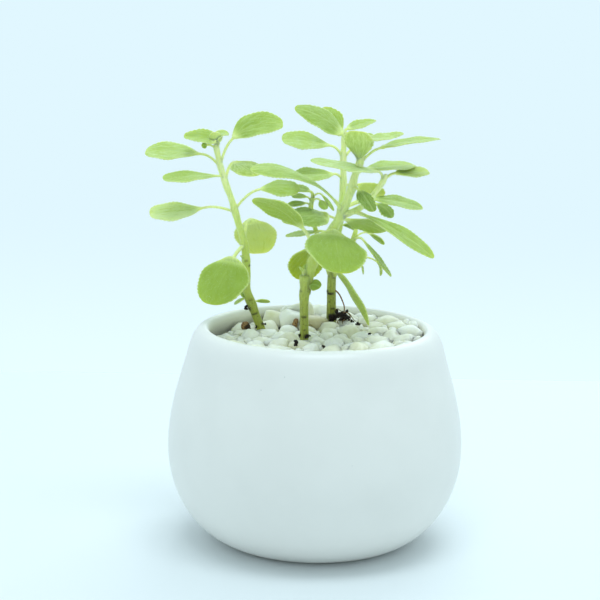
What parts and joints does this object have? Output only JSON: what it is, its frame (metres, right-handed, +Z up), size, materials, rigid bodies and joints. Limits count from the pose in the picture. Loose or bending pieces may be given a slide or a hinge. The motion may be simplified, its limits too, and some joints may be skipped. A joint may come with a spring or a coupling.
{
  "type": "potted vicks plant",
  "caption": "Leafy herb cuttings standing in soil under a white gravel top, in a round belly-shaped ceramic pot with a narrower mouth and drain holes.",
  "frame": {"origin": "centre of the pot's flat foot", "axes": "+Z up along the pot's axis; the front, as pictured, faces -Y; +X is to the viewer's right"},
  "size_m": [0.1424, 0.13, 0.1922],
  "materials": {
    "glazed_pot": "matte",
    "soil": "rough",
    "gravel": "satin",
    "foliage": "matte",
    "bark": "rough"
  },
  "bodies": {
    "root": {"pot": "glazed_pot", "potting_soil": "soil", "white_gravel": "gravel", "plant_left": "foliage", "plant_middle": "foliage", "plant_back": "foliage", "bark_chip_left": "bark", "bark_chip_middle": "bark", "soil_clod": "soil"}
  },
  "joints": []
}
